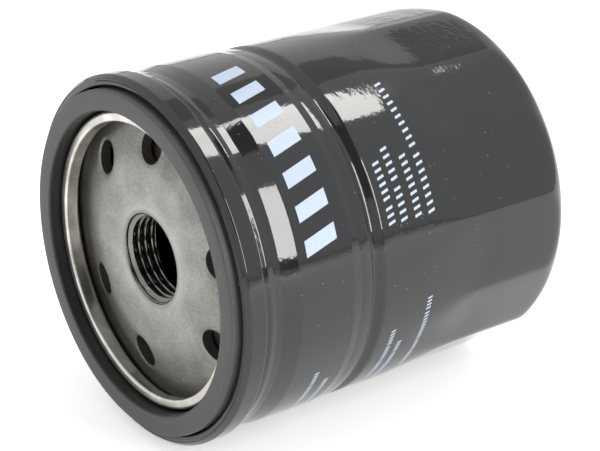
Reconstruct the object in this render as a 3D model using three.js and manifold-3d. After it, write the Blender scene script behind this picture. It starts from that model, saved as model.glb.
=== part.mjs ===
// Spin-on oil filter with a seamed steel canister, lying on its side.
// Millimetres. The filter's axis is Y: the sealing gasket faces -Y and the domed end is at +Y.
// The origin is the centre of the gasket's sealing face, and +Z is up.
import * as THREE from 'three';
import { mergeVertices } from 'three/addons/utils/BufferGeometryUtils.js';
import Module from 'manifold-3d';

const wasm = await Module();
wasm.setup();

// ---- Driving dimensions -------------------------------------------------------------------

const GAP = 0.3; // between touching pieces
const SLIDE_GAP = 0.35; // round a piece that slides

// canister
const BODY_R = 38; // mount-side half of the body, outside
const DOME_BODY_STEP = 0.28; // how much slimmer the dome-side half is
const CAN_LENGTH = 87.4; // sealing face to the dome end
const CAN_WALL = 0.5;
const NECK_DEPTH = 0.65; // below the body, behind the seam
const NECK_LENGTH = 3.5;
const SHOULDER_LENGTH = 3.5;
const CREASE_Y = 30; // where the mount-side half ends
const GROOVE_Y = 34.3;
const GROOVE_HALF_WIDTH = 1.9;
const GROOVE_DEPTH = 0.85;
const DOME_CORNER_R = 8;
const END_RING_WIDTH = 7.7; // flat ring between the dome's corner and its pressed-in panel
const END_PANEL_DEPTH = 1.2;

// wrench flats
const FLATS = 14;
const FLATS_START = 46;
const FLATS_FULL = 64;

// double seam and lid
const LID_SHEET = 0.5;
const LID_BEND_R = 0.6;
const SEAM_PROUD = 0.8; // outside the body
const SEAM_HOOK = 0.55; // between the can's edge and the lid's curl
const SEAM_FRONT = 1.8;
const SEAM_REAR = 6.6;
const LIP_FRONT = 2.5; // front of the lid's rolled inner lip
const LIP_WIDTH = 1.7;
const LIP_CLEARANCE = 0.7; // between the gasket and the lip
const FLANGE_END = 5; // free edge of the inner flange

// gasket
const GASKET_WIDTH = 4.45;
const GASKET_THICK = 6.1;
const GASKET_ROUND = 0.5;

// base plate
const PLATE_THICK = 2.6;
const PLATE_FRONT = 4.8;
const PLATE_RIM_WIDTH = 5.5;
const PLATE_EDGE_CLEARANCE = 2.45; // to the outer wall of the lid's channel
const INLET_R = 3.5;
const INLET_FROM_LIP = 5.05; // from the lip's inside to the circle of inlet holes
const INLET_LAND = 1; // between the flat centre and the inlet holes
const INLET_PAIRS = 3;
const INLET_PAIR_PLACE = 115; // degrees about the axis, from +X towards +Z
const INLET_PAIR_HALF_ANGLE = 23;

// mounting thread, 3/4 in - 16 UNF
const THREAD_MAJOR_R = 9.53;
const THREAD_MINOR_R = 8.65;
const THREAD_PITCH = 1.5875;
const SPIGOT_WALL = 1.87; // of the drawn neck that carries the thread

// anti-drain-back valve
const VALVE_TRAVEL = 1.8;
const VALVE_SHEET = 1.1;
const VALVE_OVERLAP = 1.3; // of the valve's lip on the plate's rim
const VALVE_RIM_WIDTH = 3.3; // of the skirt's flat rim
const VALVE_SKIRT_LIFT = 0.9; // between the skirt's outer end and the plate's cone
const VALVE_ROOT = 1.76; // thickness where the skirt meets the hub
const VALVE_HUB_WALL = 1.9;
const VALVE_HUB_LENGTH = 3.2;
const VALVE_WASHER_WIDTH = 4.2;
const VALVE_WASHER_THICK = 0.6;
const VALVE_WIRE_R = 0.4;
const VALVE_COILS = 2.5;
const VALVE_COIL_CLEARANCE = 1.2; // round the spigot
const VALVE_COIL_FLARE = 3;

// filter element
const ELEMENT_FLOW_GAP = 4.6; // between the can's wall and the element
const CAP_SHEET = 0.6;
const CAP_RIM = 3.6;
const CAP_BEND_R = 0.8;
const POTTING_THICK = 1.4;
const MEDIA_CLEARANCE = 0.6; // between the media's clip and the caps' rims
const MEDIA_TO_TUBE = 1.4;
const MEDIA_SHEET = 0.8;
const PLEATS = 44;
const CLIP_SHEET = 0.4;
const CLIP_DEPTH = 3.2;
const TUBE_WALL = 0.6;
const TUBE_HOLE_R = 2.1;
const TUBE_ROWS = 4;
const TUBE_END_MARGIN = 6.3; // from each end to the nearest row of holes
const TUBE_HOLES_ACROSS = 4; // drilled right through, so each gives two holes
const GROMMET_WALL = 1.6;
const GROMMET_FLANGE = 1.5;

// bypass valve
const BYPASS_PORT_R = 7;
const BYPASS_OVERLAP = 2.4; // of the disc round the port
const BYPASS_DISC_THICK = 0.8;
const BYPASS_SEAL_THICK = 1;
const BYPASS_SEAT_THICK = 1;
const BYPASS_TRAVEL = 4;
const CAGE_CLEARANCE = 2.3; // round the disc, for the oil
const CAGE_WALL = 0.7;
const CAGE_FLANGE = 1.2;
const CAGE_WINDOWS = 4;
const CAGE_WINDOW_WIDTH = 6;
const CAGE_WINDOW_MARGIN = 1.75; // from a window to each end of the cage
const PIN_R = 1.6;
const PIN_HEAD_R = 3;
const BYPASS_WIRE_R = 0.5;
const BYPASS_COIL_R = 5.8;
const BYPASS_COILS = 4;
const BYPASS_SPRING_SPARE = 3.3; // length left when the valve is fully open

// element spring
const ELEMENT_TRAVEL = 1.5;
const END_WIRE_R = 0.8;
const END_COILS = 3;
const END_COIL_R = 14.5;
const END_COIL_FLARE = 3; // extra radius at the dome end
const END_SPRING_SPARE = 4.2; // length left when the element is pushed back
const LOCATOR_LIP = 5; // outside the coil
const LOCATOR_SHEET = 0.7;
const LOCATOR_RISE = 1.6;

// facets
const BODY_SEGMENTS = 3 * FLATS;
const INNER_SEGMENTS = 28; // pieces inside the can
const HOLE_SIDES = 14; // inlet holes and the bypass pin
const TUBE_HOLE_SIDES = 8;
const COIL_STEPS = 18; // to a turn

// ---- Places worked out from the dimensions ------------------------------------------------

// radii, from the body inwards
const domeBodyR = BODY_R - DOME_BODY_STEP;
const neckR = BODY_R - NECK_DEPTH;
const seamR = BODY_R + SEAM_PROUD;
const curlR = seamR - LID_SHEET / 2; // middle of the lid's sheet
const canEdgeR = seamR - LID_SHEET - SEAM_HOOK; // outside of the can's edge, in the seam
const channelOuterR = canEdgeR - CAN_WALL - GAP - LID_SHEET / 2;
const gasketOuterR = channelOuterR - LID_SHEET / 2 - GAP;
const gasketInnerR = gasketOuterR - GASKET_WIDTH;
const channelInnerR = gasketInnerR - LIP_CLEARANCE;
const lipMiddleR = channelInnerR - LIP_WIDTH;
const lipInnerR = lipMiddleR - LID_SHEET / 2;
const plateR = channelOuterR - LID_SHEET / 2 - PLATE_EDGE_CLEARANCE;
const plateRimStart = plateR - PLATE_RIM_WIDTH;
const inletCircleR = lipInnerR - INLET_FROM_LIP;
const plateFlatR = inletCircleR - INLET_R - INLET_LAND;
const spigotR = THREAD_MAJOR_R + SPIGOT_WALL;
const slidingR = spigotR + SLIDE_GAP; // what slides on the spigot
const capHoleR = slidingR + GROMMET_WALL + GAP;
const tubeInnerR = capHoleR + GROMMET_FLANGE + GAP;
const tubeR = tubeInnerR + TUBE_WALL;
const elementR = domeBodyR - CAN_WALL - ELEMENT_FLOW_GAP;
const capRimInnerR = elementR - CAP_SHEET;
const mediaR = capRimInnerR - MEDIA_CLEARANCE - CLIP_SHEET - GAP;
const mediaInnerR = tubeR + MEDIA_TO_TUBE;
const bypassDiscR = BYPASS_PORT_R + BYPASS_OVERLAP;
const cageR = bypassDiscR + CAGE_CLEARANCE + CAGE_WALL;
const seatR = cageR + CAGE_FLANGE;
const endPanelR = domeBodyR - DOME_CORNER_R - END_RING_WIDTH;

// places along Y, from the sealing face to the dome
const channelFloorY = GASKET_THICK + GAP + LID_SHEET / 2; // middle of the lid's sheet
const channelBack = channelFloorY + LID_SHEET / 2;
const neckBend = channelBack - LID_SHEET - GAP; // where the wall leaves the seam for the neck
const neckStart = channelBack + LID_BEND_R;
const neckEnd = neckStart + NECK_LENGTH;
const shoulderEnd = neckEnd + SHOULDER_LENGTH;
const plateRimY = channelBack + GAP;
const plateBack = PLATE_FRONT + PLATE_THICK;
const plateRimBack = plateRimY + PLATE_THICK;
const hubFront = plateBack + GAP;
const hubBack = hubFront + VALVE_HUB_LENGTH;
const valveWasherFront = hubBack + GAP;
const valveWasherBack = valveWasherFront + VALVE_WASHER_THICK;
const valveSpringRoom = VALVE_TRAVEL + 2 * VALVE_WIRE_R * VALVE_COILS + GAP;
const elementFront = valveWasherBack + valveSpringRoom;
const mountCapBack = elementFront + CAP_SHEET;
const spigotEnd = mountCapBack + GAP;
const mountPottingFront = mountCapBack + GAP;
const mountPottingBack = mountPottingFront + POTTING_THICK;
const domeInside = CAN_LENGTH - END_PANEL_DEPTH - CAN_WALL;
const endSpringLength = ELEMENT_TRAVEL + 2 * END_WIRE_R * END_COILS + END_SPRING_SPARE;
const endSpringFront = domeInside - GAP - endSpringLength;
const locatorFront = endSpringFront - GAP - LOCATOR_SHEET;
const elementEnd = locatorFront - GAP;
const domeCapFront = elementEnd - CAP_SHEET;
const domePottingBack = domeCapFront - GAP;
const domePottingFront = domePottingBack - POTTING_THICK;
const mediaFront = mountPottingBack + GAP;
const mediaBack = domePottingFront - GAP;
const seatBack = domeCapFront - GAP;
const seatFront = seatBack - BYPASS_SEAT_THICK;
const tubeFront = mountCapBack + GAP;
const tubeBack = seatFront - GAP;
const sealBack = seatFront - GAP / 2;
const sealFront = sealBack - BYPASS_SEAL_THICK;
const discBack = sealFront - GAP / 2;
const discFront = discBack - BYPASS_DISC_THICK;
const cageBack = seatFront - GAP;
const bypassSpringLength = BYPASS_TRAVEL + 2 * BYPASS_WIRE_R * BYPASS_COILS + BYPASS_SPRING_SPARE;
const cageFloor = discFront - 2 * GAP - bypassSpringLength;
const cageFront = cageFloor - CAGE_WALL;
const pinEnd = cageFront - CAGE_WALL;

// ---- Materials ------------------------------------------------------------------------------

const finish = (color, roughness, metalness) =>
  new THREE.MeshStandardMaterial({ color, roughness, metalness });
const paint = finish(0x161616, 0.18, 0.0);
const tinplate = finish(0xa7a59f, 0.42, 0.9);
const plateSteel = finish(0x9d9c98, 0.5, 0.85);
const gasketRubber = finish(0x4a4a4c, 0.75, 0.0);
const valveRubber = finish(0x2a1d18, 0.6, 0.0);
const capSteel = finish(0xb4b6b4, 0.4, 0.9);
const springSteel = finish(0x8b8c8e, 0.35, 1.0);
const paper = finish(0xc9a25e, 0.9, 0.0);
const plastisol = finish(0x8c3a2a, 0.65, 0.0);

// ---- Shape helpers --------------------------------------------------------------------------

const group = new THREE.Group();

function addPart(name, geometry, material) {
  const mesh = new THREE.Mesh(geometry, material);
  mesh.name = name;
  group.add(mesh);
  return mesh;
}

const point = (r, y) => new THREE.Vector2(r, y);

// Rounds each inner corner of an open path with a tangent arc of the given radius.
function roundCorners(path, radius, steps = 3) {
  const rounded = [path[0]];
  for (let i = 1; i < path.length - 1; i += 1) {
    const toPrevious = path[i - 1].clone().sub(path[i]);
    const toNext = path[i + 1].clone().sub(path[i]);
    const reach = Math.min(toPrevious.length(), toNext.length()) * 0.45;
    toPrevious.normalize();
    toNext.normalize();
    const halfAngle = Math.acos(THREE.MathUtils.clamp(toPrevious.dot(toNext), -1, 1)) / 2;
    const trim = Math.min(radius / Math.tan(halfAngle), reach);
    const start = path[i].clone().addScaledVector(toPrevious, trim);
    const end = path[i].clone().addScaledVector(toNext, trim);
    const curve = new THREE.QuadraticBezierCurve(start, path[i], end);
    rounded.push(...curve.getPoints(steps));
  }
  rounded.push(path[path.length - 1]);
  return rounded;
}

// The path moved sideways by a distance, with mitred corners. Left of travel is positive.
function offsetPath(path, distance) {
  return path.map((here, i) => {
    const before = path[Math.max(i - 1, 0)];
    const after = path[Math.min(i + 1, path.length - 1)];
    const into = here.clone().sub(before).normalize();
    const out = after.clone().sub(here).normalize();
    if (i === 0) into.copy(out);
    if (i === path.length - 1) out.copy(into);
    const normal = point(-into.y - out.y, into.x + out.x).normalize();
    const mitre = Math.max(normal.dot(point(-out.y, out.x)), 0.5);
    return here.clone().addScaledVector(normal, distance / mitre);
  });
}

// Closed profile of a sheet whose middle follows the path.
function sheetProfile(path, thickness) {
  const left = offsetPath(path, thickness / 2);
  const right = offsetPath(path, -thickness / 2);
  return [...left, ...right.reverse()];
}

function area(profile) {
  return THREE.ShapeUtils.area(profile);
}

// Solid of revolution about Y. A closed profile ends where it starts; an axial one has both ends
// on the axis.
function revolve(profile, segments) {
  const onAxis = profile[0].x === 0 && profile[profile.length - 1].x === 0;
  const ordered = area(profile) > 0 ? [...profile] : [...profile].reverse();
  if (!onAxis) ordered.push(ordered[0].clone());
  return new THREE.LatheGeometry(ordered, segments);
}

const ringProfile = (inner, outer, from, to) =>
  [point(inner, from), point(outer, from), point(outer, to), point(inner, to)];

const ring = (inner, outer, from, to) =>
  revolve(ringProfile(inner, outer, from, to), INNER_SEGMENTS);

function toManifold(geometry) {
  const bare = geometry.clone();
  bare.deleteAttribute('normal');
  bare.deleteAttribute('uv');
  const merged = mergeVertices(bare, 1e-4);
  const index = merged.index.array;
  const kept = [];
  for (let i = 0; i < index.length; i += 3) {
    const [a, b, c] = [index[i], index[i + 1], index[i + 2]];
    if (a !== b && b !== c && c !== a) kept.push(a, b, c);
  }
  return new wasm.Manifold(new wasm.Mesh({
    numProp: 3,
    vertProperties: new Float32Array(merged.attributes.position.array),
    triVerts: new Uint32Array(kept),
  }));
}

function fromManifold(solid) {
  const mesh = solid.getMesh();
  const geometry = new THREE.BufferGeometry();
  geometry.setAttribute('position', new THREE.BufferAttribute(mesh.vertProperties, 3));
  geometry.setIndex(new THREE.BufferAttribute(mesh.triVerts, 1));
  return geometry;
}

function cutAway(geometry, tools) {
  let solid = toManifold(geometry);
  for (const tool of tools) solid = solid.subtract(toManifold(tool));
  return fromManifold(solid);
}

// A round bar along Y.
const barAlongY = (r, from, to, segments) =>
  new THREE.CylinderGeometry(r, r, to - from, segments).translate(0, (from + to) / 2, 0);

// A coil about the Y axis. Its radius changes evenly from one end to the other.
class CoilCurve extends THREE.Curve {
  constructor(startR, endR, from, to, turns) {
    super();
    Object.assign(this, { startR, endR, from, to, turns });
  }

  getPoint(t, target = new THREE.Vector3()) {
    const angle = 2 * Math.PI * this.turns * t;
    const r = THREE.MathUtils.lerp(this.startR, this.endR, t);
    const y = THREE.MathUtils.lerp(this.from, this.to, t);
    return target.set(r * Math.cos(angle), y, r * Math.sin(angle));
  }
}

function coilSpring(startR, endR, from, to, turns, wireR) {
  const path = new CoilCurve(startR, endR, from + wireR, to - wireR, turns);
  const section = new THREE.Shape();
  section.absarc(0, 0, wireR, 0, 2 * Math.PI);
  return new THREE.ExtrudeGeometry(section, {
    steps: Math.round(turns * COIL_STEPS),
    curveSegments: 3,
    extrudePath: path,
    bevelEnabled: false,
  });
}

const degrees = (value) => THREE.MathUtils.degToRad(value);

// ---- Canister -------------------------------------------------------------------------------

// Outline of the can from inside the seam to the centre of the dome end. Inset is how far
// inside the outer surface it runs.
function canOutline(inset, grooveSteps, cornerSteps, wallRows) {
  const domeSideR = domeBodyR - inset;
  const outline = [
    point(canEdgeR - inset, SEAM_FRONT + LID_SHEET + 2 * GAP),
    point(canEdgeR - inset, neckBend),
    point(neckR - inset, neckStart),
    point(neckR - inset, neckEnd),
    point((neckR + BODY_R) / 2 - inset, (neckEnd + shoulderEnd) / 2),
    point(BODY_R - inset, shoulderEnd),
    point(BODY_R - inset, CREASE_Y - GROOVE_HALF_WIDTH),
    point(domeSideR, CREASE_Y),
  ];
  // the groove is one wave of a cosine
  for (let i = 0; i <= grooveSteps; i += 1) {
    const t = i / grooveSteps;
    const depth = GROOVE_DEPTH * (1 - Math.cos(2 * Math.PI * t)) / 2;
    outline.push(point(domeSideR - depth, GROOVE_Y + GROOVE_HALF_WIDTH * (2 * t - 1)));
  }
  const cornerStart = CAN_LENGTH - DOME_CORNER_R;
  for (let i = 0; i < wallRows; i += 1) {
    outline.push(point(domeSideR, THREE.MathUtils.lerp(FLATS_START, cornerStart, i / wallRows)));
  }
  const cornerR = DOME_CORNER_R - inset;
  for (let i = 0; i <= cornerSteps; i += 1) {
    const turn = (Math.PI / 2) * (i / cornerSteps);
    outline.push(point(
      domeSideR - cornerR * (1 - Math.cos(turn)),
      cornerStart + cornerR * Math.sin(turn),
    ));
  }
  outline.push(point(endPanelR + END_PANEL_DEPTH, CAN_LENGTH - inset));
  outline.push(point(endPanelR, CAN_LENGTH - END_PANEL_DEPTH - inset));
  outline.push(point(0, CAN_LENGTH - END_PANEL_DEPTH - inset));
  return outline;
}

// How far out the wrench flats leave the wall, at an angle from a ridge and a place along Y.
function flatLimit(angle, y, ridgeR) {
  const pitch = 2 * Math.PI / FLATS;
  const fromMiddle = ((angle % pitch) + pitch) % pitch - pitch / 2;
  const flatR = ridgeR * Math.cos(pitch / 2) / Math.cos(fromMiddle);
  const pressed = THREE.MathUtils.smoothstep(y, FLATS_START, FLATS_FULL);
  return THREE.MathUtils.lerp(ridgeR, flatR, pressed);
}

// The outer and inner surfaces of the wall are pressed flat together.
function pressFlats(geometry) {
  const position = geometry.attributes.position;
  const wallMiddleR = domeBodyR - CAN_WALL / 2;
  const innerEndY = CAN_LENGTH - CAN_WALL / 2;
  for (let i = 0; i < position.count; i += 1) {
    const [x, y, z] = [position.getX(i), position.getY(i), position.getZ(i)];
    const r = Math.hypot(x, z);
    const outside = r > wallMiddleR || y > innerEndY;
    const limit = flatLimit(Math.atan2(x, z), y, outside ? domeBodyR : domeBodyR - CAN_WALL);
    if (y > FLATS_START && r > limit) position.setXYZ(i, x * limit / r, y, z * limit / r);
  }
  return geometry;
}

const canOutside = canOutline(0, 4, 4, 3);
const canInside = canOutline(CAN_WALL, 2, 3, 2);
const canister = pressFlats(revolve([...canInside, ...canOutside.reverse()], BODY_SEGMENTS));
addPart('canister', canister, paint);

// ---- Lid, gasket and base plate ----------------------------------------------------------

// The lid's sheet runs from the curl under the can's edge, over the seam, down the channel that
// holds the gasket, and over the rolled lip.
const seamTop = roundCorners([
  point(curlR, SEAM_REAR - LID_SHEET / 2),
  point(curlR, SEAM_FRONT + LID_SHEET / 2),
  point(channelOuterR, SEAM_FRONT + LID_SHEET / 2),
  point(channelOuterR, channelFloorY),
  point((channelOuterR + channelInnerR) / 2, channelFloorY),
], LID_BEND_R, 1);
const lip = roundCorners([
  point(channelInnerR, channelFloorY),
  point(channelInnerR, LIP_FRONT + LID_SHEET / 2),
  point(lipMiddleR, LIP_FRONT + LID_SHEET / 2),
  point(lipMiddleR, FLANGE_END),
], LID_BEND_R, 1);
const lidPath = [point(canEdgeR + GAP, SEAM_REAR - LID_SHEET / 2), ...seamTop, ...lip];
// turned by half a facet, so that the seam rests on a facet and not on an edge
const seamingLid = revolve(sheetProfile(lidPath, LID_SHEET), BODY_SEGMENTS)
  .rotateY(Math.PI / BODY_SEGMENTS);
addPart('seaming_lid', seamingLid, tinplate);

const sealingGasket = revolve([
  point(gasketInnerR, GASKET_ROUND),
  point(gasketInnerR + GASKET_ROUND, 0),
  point(gasketOuterR - GASKET_ROUND, 0),
  point(gasketOuterR, GASKET_ROUND),
  point(gasketOuterR, GASKET_THICK),
  point(gasketInnerR, GASKET_THICK),
], BODY_SEGMENTS).rotateY(Math.PI / BODY_SEGMENTS);
addPart('sealing_gasket', sealingGasket, gasketRubber);

// The base plate's front face is flat round the thread, then falls back to a flat rim under
// the lid's channel. Its centre is drawn inwards to a threaded spigot, whose thread is a row of
// ring ridges.
function threadProfile() {
  const turns = [point(THREAD_MAJOR_R, PLATE_FRONT)];
  const crests = Math.floor((spigotEnd - PLATE_FRONT) / THREAD_PITCH);
  for (let i = 0; i < crests; i += 1) {
    const crestY = PLATE_FRONT + (i + 0.5) * THREAD_PITCH;
    turns.push(point(THREAD_MINOR_R, crestY));
    turns.push(point(THREAD_MAJOR_R, crestY + THREAD_PITCH / 2));
  }
  turns[turns.length - 1].y = spigotEnd;
  return turns;
}

const plateProfile = [
  ...threadProfile(),
  point(spigotR, spigotEnd),
  point(spigotR, plateBack),
  point(plateFlatR, plateBack),
  point(plateRimStart, plateRimBack),
  point(plateR, plateRimBack),
  point(plateR, plateRimY),
  point(plateRimStart, plateRimY),
  point(plateFlatR, PLATE_FRONT),
];

function inletDrills() {
  const drills = [];
  for (let pair = 0; pair < INLET_PAIRS; pair += 1) {
    for (const side of [-1, 1]) {
      const place = degrees(INLET_PAIR_PLACE + pair * 360 / INLET_PAIRS
        + side * INLET_PAIR_HALF_ANGLE);
      const drill = barAlongY(INLET_R, 0, plateRimBack + PLATE_THICK, HOLE_SIDES);
      drill.translate(inletCircleR * Math.cos(place), 0, inletCircleR * Math.sin(place));
      drills.push(drill);
    }
  }
  return drills;
}

addPart('base_plate', cutAway(revolve(plateProfile, BODY_SEGMENTS), inletDrills()), plateSteel);

// ---- Anti-drain-back valve ----------------------------------------------------------------

const hubOuterR = slidingR + VALVE_HUB_WALL;
const valveLipR = plateRimStart + VALVE_OVERLAP;
const valveLipFront = plateRimBack + GAP;
// The skirt slopes back beside the plate's cone, and its rim lies flat on the plate outside the
// inlet holes.
const skirtSlope = (plateRimY - PLATE_FRONT) / (plateRimStart - plateFlatR);
const valveBendR = valveLipR - VALVE_RIM_WIDTH;
const valveBendY = hubFront + (valveBendR - plateFlatR) * skirtSlope + VALVE_SKIRT_LIFT;
const valveProfile = [
  point(slidingR, hubFront),
  point(plateFlatR - VALVE_SHEET, hubFront),
  point(valveBendR, valveBendY),
  point(valveLipR - VALVE_SHEET, valveLipFront),
  point(valveLipR, valveLipFront),
  point(valveLipR, valveLipFront + VALVE_SHEET),
  point(valveBendR, valveLipFront + 2 * VALVE_SHEET),
  point(hubOuterR + VALVE_SHEET, hubFront + VALVE_ROOT),
  point(hubOuterR, hubBack),
  point(slidingR, hubBack),
];
addPart('drain_back_valve', revolve(valveProfile, BODY_SEGMENTS), valveRubber);

addPart('drain_back_washer', ring(
  slidingR, slidingR + VALVE_WASHER_WIDTH, valveWasherFront, valveWasherBack,
), capSteel);

const valveCoilR = slidingR + VALVE_WIRE_R + VALVE_COIL_CLEARANCE;
addPart('drain_back_spring', coilSpring(
  valveCoilR, valveCoilR + VALVE_COIL_FLARE,
  valveWasherBack + GAP, elementFront - GAP, VALVE_COILS, VALVE_WIRE_R,
), springSteel);

// ---- Filter element ---------------------------------------------------------------------------

// An end cap is a flat disc with a rim that wraps the media.
function endCap(holeR, faceY, rimDirection) {
  const middle = faceY + rimDirection * CAP_SHEET / 2;
  const path = roundCorners([
    point(holeR, middle),
    point(elementR - CAP_SHEET / 2, middle),
    point(elementR - CAP_SHEET / 2, faceY + rimDirection * CAP_RIM),
  ], CAP_BEND_R, 2);
  return revolve(sheetProfile(path, CAP_SHEET), INNER_SEGMENTS);
}

addPart('mount_end_cap', endCap(capHoleR, elementFront, 1), capSteel);
addPart('dome_end_cap', endCap(BYPASS_PORT_R + GAP, elementEnd, -1), capSteel);

// The rubber grommet grips the cap's hole and slides on the spigot.
const grommetFront = mountCapBack + GAP;
addPart('element_grommet', revolve([
  point(slidingR, elementFront),
  point(capHoleR - GAP, elementFront),
  point(capHoleR - GAP, grommetFront),
  point(capHoleR + GROMMET_FLANGE, grommetFront),
  point(capHoleR + GROMMET_FLANGE, grommetFront + GROMMET_WALL),
  point(slidingR, grommetFront + GROMMET_WALL),
], INNER_SEGMENTS), valveRubber);

addPart('mount_end_potting', ring(
  tubeR + GAP, capRimInnerR - GAP, mountPottingFront, mountPottingBack,
), plastisol);
addPart('dome_end_potting', ring(
  tubeR + GAP, capRimInnerR - GAP, domePottingFront, domePottingBack,
), plastisol);

// The perforated centre tube carries the element between the caps.
function tubeDrills() {
  const drills = [];
  const from = tubeFront + TUBE_END_MARGIN;
  const to = tubeBack - TUBE_END_MARGIN;
  for (let row = 0; row < TUBE_ROWS; row += 1) {
    const y = THREE.MathUtils.lerp(from, to, row / (TUBE_ROWS - 1));
    const stagger = row % 2 ? 0.5 : 0;
    for (let i = 0; i < TUBE_HOLES_ACROSS; i += 1) {
      const drill = barAlongY(TUBE_HOLE_R, -2 * tubeR, 2 * tubeR, TUBE_HOLE_SIDES).rotateX(Math.PI / 2);
      drill.rotateY(Math.PI * (i + stagger) / TUBE_HOLES_ACROSS).translate(0, y, 0);
      drills.push(drill);
    }
  }
  return drills;
}
const plainTube = ring(tubeInnerR, tubeR, tubeFront, tubeBack);
addPart('centre_tube', cutAway(plainTube, tubeDrills()), capSteel);

// The pleated media is one sheet folded into a star and closed on itself. The two outlines are
// a radial shift apart, so that the walls between folds are about one sheet thick.
const foldSpan = mediaR - mediaInnerR;
const foldPitch = Math.PI * (mediaR + mediaInnerR) / 2 / PLEATS;
const foldShift = MEDIA_SHEET * foldSpan / (foldPitch + MEDIA_SHEET);
function pleatOutline(outerR, innerR) {
  const corners = [];
  for (let i = 0; i < 2 * PLEATS; i += 1) {
    const r = i % 2 ? innerR : outerR;
    const angle = Math.PI * i / PLEATS;
    corners.push(point(r * Math.cos(angle), r * Math.sin(angle)));
  }
  return corners;
}
const mediaShape = new THREE.Shape(pleatOutline(mediaR, mediaInnerR + foldShift));
mediaShape.holes.push(new THREE.Path(pleatOutline(mediaR - foldShift, mediaInnerR)));
const media = new THREE.ExtrudeGeometry(mediaShape, {
  depth: mediaBack - mediaFront, bevelEnabled: false,
}).rotateX(-Math.PI / 2).translate(0, mediaFront, 0);
addPart('filter_media', media, paper);

// A folded steel clip joins the media's two ends over one outer fold.
const clipOuterR = mediaR + GAP + CLIP_SHEET;
const clipHalfWidth = MEDIA_SHEET + GAP + CLIP_SHEET;
const clipShape = new THREE.Shape([
  point(clipOuterR, clipHalfWidth),
  point(clipOuterR - CLIP_DEPTH, clipHalfWidth + CLIP_SHEET),
  point(clipOuterR - CLIP_DEPTH, clipHalfWidth),
  point(clipOuterR - CLIP_SHEET, clipHalfWidth - CLIP_SHEET),
  point(clipOuterR - CLIP_SHEET, CLIP_SHEET - clipHalfWidth),
  point(clipOuterR - CLIP_DEPTH, -clipHalfWidth),
  point(clipOuterR - CLIP_DEPTH, -clipHalfWidth - CLIP_SHEET),
  point(clipOuterR, -clipHalfWidth),
]);
const mediaClip = new THREE.ExtrudeGeometry(clipShape, {
  depth: mediaBack - mediaFront, bevelEnabled: false,
}).rotateX(-Math.PI / 2).translate(0, mediaFront, 0);
addPart('media_clip', mediaClip, capSteel);

// ---- Bypass valve -------------------------------------------------------------------------

// The seat is a ring behind the dome-side cap. Its port is closed by a sprung disc that opens
// towards the mount.
addPart('bypass_seat', ring(BYPASS_PORT_R, seatR, seatFront, seatBack), capSteel);

addPart('bypass_seal', ring(
  PIN_R + GAP, bypassDiscR - 2 * GAP, sealFront, sealBack,
), valveRubber);
addPart('bypass_disc', ring(
  PIN_R + GAP, bypassDiscR, discFront, discBack,
), capSteel);

// The pin's head holds the seal and disc from behind, and its stem guides them in the cage.
addPart('bypass_pin', revolve([
  point(0, pinEnd),
  point(PIN_R, pinEnd),
  point(PIN_R, sealBack + GAP),
  point(PIN_HEAD_R, sealBack + GAP),
  point(PIN_HEAD_R, seatBack),
  point(0, seatBack),
], HOLE_SIDES), springSteel);

// The cage is a cup with windows in its wall and a guide hole for the pin.
const cageShell = revolve(sheetProfile([
  point(PIN_R + SLIDE_GAP, cageFront + CAGE_WALL / 2),
  point(cageR - CAGE_WALL / 2, cageFront + CAGE_WALL / 2),
  point(cageR - CAGE_WALL / 2, cageBack - CAGE_WALL / 2),
  point(seatR, cageBack - CAGE_WALL / 2),
], CAGE_WALL), INNER_SEGMENTS);
function cageWindows() {
  const windowLength = cageBack - cageFront - 2 * CAGE_WINDOW_MARGIN;
  const middle = (cageFront + cageBack) / 2;
  const windows = [];
  for (let i = 0; i < CAGE_WINDOWS / 2; i += 1) {
    windows.push(new THREE.BoxGeometry(4 * cageR, windowLength, CAGE_WINDOW_WIDTH)
      .rotateY(2 * Math.PI * i / CAGE_WINDOWS).translate(0, middle, 0));
  }
  return windows;
}
addPart('bypass_cage', cutAway(cageShell, cageWindows()), capSteel);

addPart('bypass_spring', coilSpring(
  BYPASS_COIL_R, BYPASS_COIL_R, cageFloor + GAP, discFront - GAP, BYPASS_COILS, BYPASS_WIRE_R,
), springSteel);

// ---- Element spring -----------------------------------------------------------------------

// A coil spring in a shallow dish pushes the element towards the base plate.
const locatorR = END_COIL_R + LOCATOR_LIP;
addPart('spring_locator', revolve(sheetProfile([
  point(BYPASS_PORT_R + 2 * GAP, locatorFront + LOCATOR_SHEET / 2),
  point(locatorR, locatorFront + LOCATOR_SHEET / 2),
  point(locatorR + LOCATOR_SHEET, locatorFront + LOCATOR_RISE),
], LOCATOR_SHEET), INNER_SEGMENTS), capSteel);

addPart('element_spring', coilSpring(
  END_COIL_R, END_COIL_R + END_COIL_FLARE,
  endSpringFront, domeInside - GAP, END_COILS, END_WIRE_R,
), springSteel);

export default group;
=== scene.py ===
# %% [markdown]
# # A spin-on oil filter
# The object is a drawn steel can in black enamel, closed by a seamed lid with a rubber gasket.
# A thick base plate with a thread and six oil inlets shows inside the gasket. The CAD frame
# holds every piece at its true size, in coarse facets. This notebook gives the pieces that
# show a fine surface and a real finish, in the same place and at the same size.

# %% Load the frame
import math

import bmesh
import bpy
import numpy as np
from mathutils import Matrix, Vector


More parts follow.
